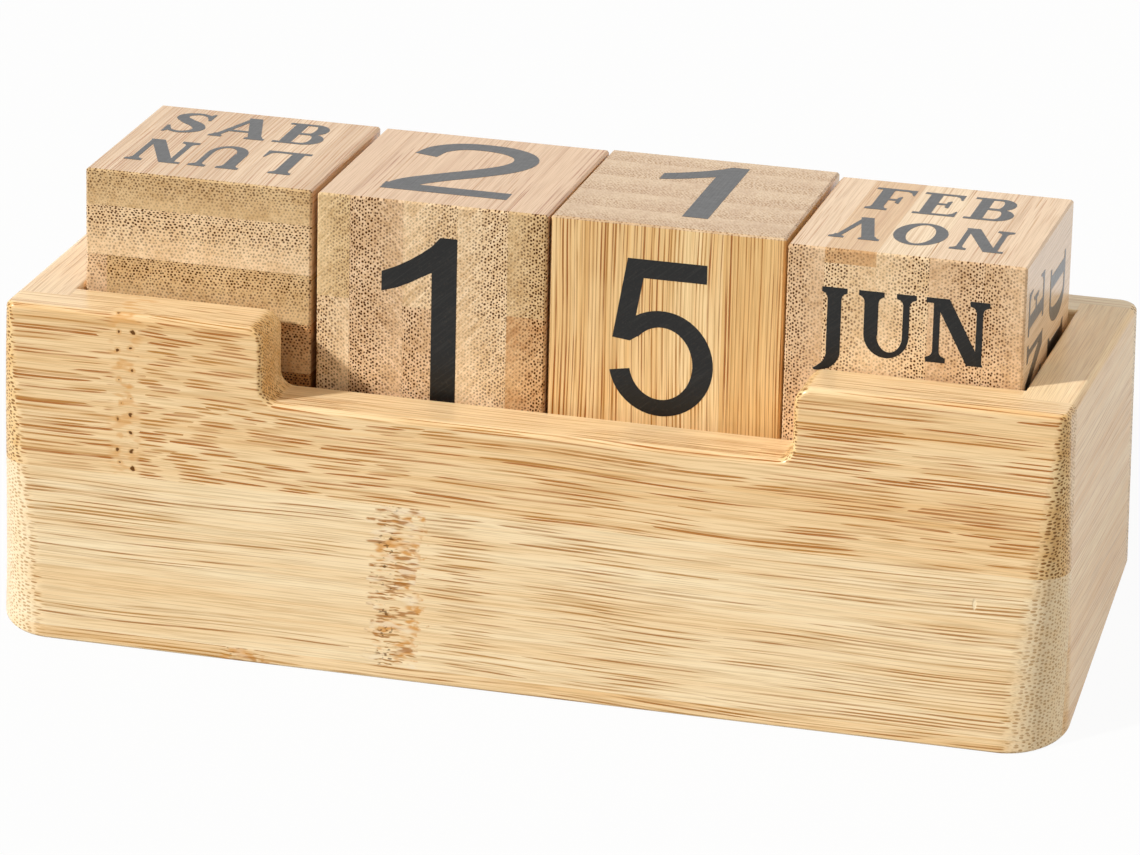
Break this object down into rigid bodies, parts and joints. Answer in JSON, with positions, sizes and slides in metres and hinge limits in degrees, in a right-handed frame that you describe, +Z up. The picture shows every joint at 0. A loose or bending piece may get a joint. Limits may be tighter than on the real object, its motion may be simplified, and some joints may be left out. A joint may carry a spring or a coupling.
{
  "type": "perpetual desk calendar",
  "caption": "Bamboo tray with a leaning row of loose printed cubes that show the weekday, the day and the month.",
  "frame": {"origin": "middle of the bounding box, at the level of the surface that the tray stands on", "axes": "+X along the row of blocks to the reader's right, +Y towards the back, +Z up; tray and blocks lean back by 12.4 degrees"},
  "size_m": [0.1864, 0.075, 0.0762],
  "materials": {
    "front_board_bamboo": "clear satin lacquer over bamboo",
    "back_board_bamboo": "clear satin lacquer over bamboo",
    "side_board_bamboo": "clear satin lacquer over bamboo",
    "floor_bamboo": "clear satin lacquer over bamboo",
    "weekday_block_bamboo": "clear satin lacquer over bamboo",
    "tens_block_bamboo": "clear satin lacquer over bamboo",
    "units_block_bamboo": "clear satin lacquer over bamboo",
    "month_block_bamboo": "clear satin lacquer over bamboo",
    "printed_ink": "thin black printing ink"
  },
  "bodies": {
    "tray": {"front_board_upper_strip": "front_board_bamboo", "front_board_lower_strip": "front_board_bamboo", "front_board_bottom_strip": "front_board_bamboo", "back_board_upper_strip": "back_board_bamboo", "back_board_lower_strip": "back_board_bamboo", "left_board_upper_strip": "side_board_bamboo", "left_board_lower_strip": "side_board_bamboo", "right_board_upper_strip": "side_board_bamboo", "right_board_lower_strip": "side_board_bamboo", "floor_front_strip": "floor_bamboo", "floor_rear_strip": "floor_bamboo"},
    "weekday_block": {"weekday_block_layer_1_left": "weekday_block_bamboo", "weekday_block_layer_1_middle": "weekday_block_bamboo", "weekday_block_layer_1_right": "weekday_block_bamboo", "weekday_block_layer_2_left": "weekday_block_bamboo", "weekday_block_layer_2_middle": "weekday_block_bamboo", "weekday_block_layer_2_right": "weekday_block_bamboo", "weekday_block_layer_3_left": "weekday_block_bamboo", "weekday_block_layer_3_middle": "weekday_block_bamboo", "weekday_block_layer_3_right": "weekday_block_bamboo", "weekday_block_layer_4_left": "weekday_block_bamboo", "weekday_block_layer_4_middle": "weekday_block_bamboo", "weekday_block_layer_4_right": "weekday_block_bamboo", "weekday_block_layer_5_left": "weekday_block_bamboo", "weekday_block_layer_5_middle": "weekday_block_bamboo", "weekday_block_layer_5_right": "weekday_block_bamboo"},
    "tens_block": {"tens_block_strip_1_upper": "tens_block_bamboo", "tens_block_strip_1_lower": "tens_block_bamboo", "tens_block_strip_2_upper": "tens_block_bamboo", "tens_block_strip_2_lower": "tens_block_bamboo", "tens_block_strip_3_upper": "tens_block_bamboo", "tens_block_strip_3_lower": "tens_block_bamboo", "tens_block_strip_4_upper": "tens_block_bamboo", "tens_block_strip_4_lower": "tens_block_bamboo", "tens_block_strip_5_upper": "tens_block_bamboo", "tens_block_strip_5_lower": "tens_block_bamboo"},
    "units_block": {"units_block_layer_1_left": "units_block_bamboo", "units_block_layer_1_right": "units_block_bamboo", "units_block_layer_2_left": "units_block_bamboo", "units_block_layer_2_right": "units_block_bamboo", "units_block_layer_3_left": "units_block_bamboo", "units_block_layer_3_right": "units_block_bamboo", "units_block_layer_4_left": "units_block_bamboo", "units_block_layer_4_right": "units_block_bamboo", "units_block_layer_5_left": "units_block_bamboo", "units_block_layer_5_right": "units_block_bamboo"},
    "month_block": {"month_block_strip_1": "month_block_bamboo", "month_block_strip_2_upper": "month_block_bamboo", "month_block_strip_2_lower": "month_block_bamboo", "month_block_strip_3_upper": "month_block_bamboo", "month_block_strip_3_lower": "month_block_bamboo", "month_block_strip_4_upper": "month_block_bamboo", "month_block_strip_4_lower": "month_block_bamboo", "month_block_strip_5": "month_block_bamboo"}
  },
  "joints": [
    {"name": "weekday_lift", "type": "slide", "parent": "tray", "child": "weekday_block", "axis": [0, 0.2147, 0.9767], "range_m": [0, 0.045]},
    {"name": "tens_lift", "type": "slide", "parent": "tray", "child": "tens_block", "axis": [0, 0.2147, 0.9767], "range_m": [0, 0.045]},
    {"name": "units_lift", "type": "slide", "parent": "tray", "child": "units_block", "axis": [0, 0.2147, 0.9767], "range_m": [0, 0.045]},
    {"name": "month_lift", "type": "slide", "parent": "tray", "child": "month_block", "axis": [0, 0.2147, 0.9767], "range_m": [0, 0.045]}
  ]
}
